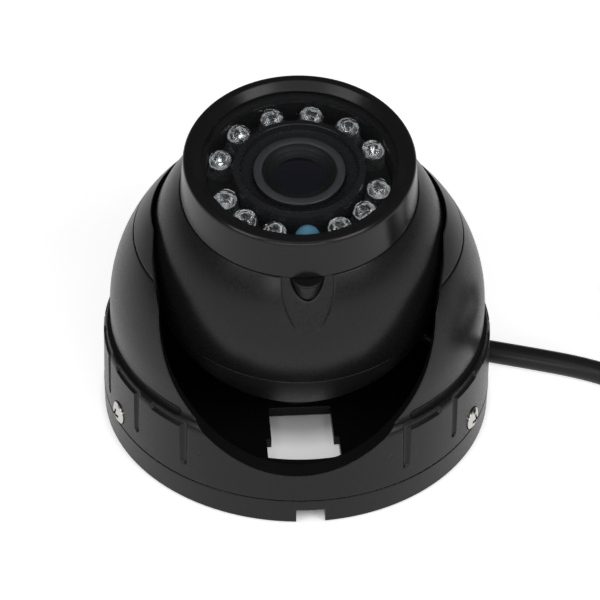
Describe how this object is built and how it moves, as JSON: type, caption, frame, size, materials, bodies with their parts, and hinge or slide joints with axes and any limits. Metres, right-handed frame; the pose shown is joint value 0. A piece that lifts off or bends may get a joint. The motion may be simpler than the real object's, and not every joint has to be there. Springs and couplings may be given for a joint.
{
  "type": "dome surveillance camera",
  "caption": "Surface-mounted dome camera: a cast base ring and slotted cover hold an eyeball with infrared lamps behind a hooded window, and a cable with a round connector.",
  "frame": {"origin": "centre of the underside, where the base ring meets the mounting surface", "axes": "+Z out of the mounting surface, -Y towards the front slot that the lens tilts down into, +X to the right seen from the front"},
  "size_m": [0.2017, 0.1005, 0.0803],
  "materials": {
    "case_paint": "semi-gloss black paint over die-cast metal",
    "hood_paint": "semi-gloss black paint over turned metal",
    "trim_rubber": "matt black",
    "seal_rubber": "matt black",
    "window_glass": "clear, polished",
    "lamp_clear": "clear moulded lens",
    "sensor_tint": "translucent blue",
    "board_black": "matt solder mask",
    "board_green": "solder mask",
    "shield_plastic": "satin black",
    "barrel_black": "black anodised",
    "lens_glass": "coated lens",
    "chip_grey": "glossy",
    "screw_steel": "bright plated steel",
    "post_brass": "plain",
    "cable_jacket": "satin black",
    "plug_plastic": "satin black",
    "plug_metal": "turned"
  },
  "bodies": {
    "base": {"base_plate": "case_paint", "cover_seal": "seal_rubber", "ball_pad": "seal_rubber", "cable_gland": "seal_rubber", "inner_lead": "cable_jacket", "cable": "cable_jacket", "cable_coil": "cable_jacket", "coil_tie": "trim_rubber", "cable_tail": "cable_jacket", "cable_plug": "plug_plastic", "plug_nut": "plug_metal", "plug_pins": "post_brass"},
    "cover": {"dome_cover": "case_paint", "opening_trim": "trim_rubber", "cover_screws": "screw_steel"},
    "ball": {"ball_front_shell": "case_paint", "ball_rear_shell": "case_paint", "shell_seal": "seal_rubber", "shell_screws": "screw_steel", "ball_grommet": "seal_rubber", "lens_hood": "hood_paint", "front_window": "window_glass", "window_seal": "seal_rubber", "led_board": "board_black", "infrared_leds": "lamp_clear", "light_sensor": "sensor_tint", "lens_shield": "shield_plastic", "lens_barrel": "barrel_black", "lens_glass": "lens_glass", "lens_holder": "shield_plastic", "sensor_board": "board_green", "image_sensor": "chip_grey", "standoffs": "post_brass", "board_screws": "screw_steel"}
  },
  "joints": [
    {"name": "pan", "type": "hinge", "parent": "base", "child": "cover", "pos_m": [0, 0, 0], "axis": [0, 0, 1], "range_deg": [-175, 175]},
    {"name": "tilt", "type": "hinge", "parent": "cover", "child": "ball", "pos_m": [0, 0, 0.0431], "axis": [1, 0, 0], "range_deg": [-25, 74.5]}
  ]
}
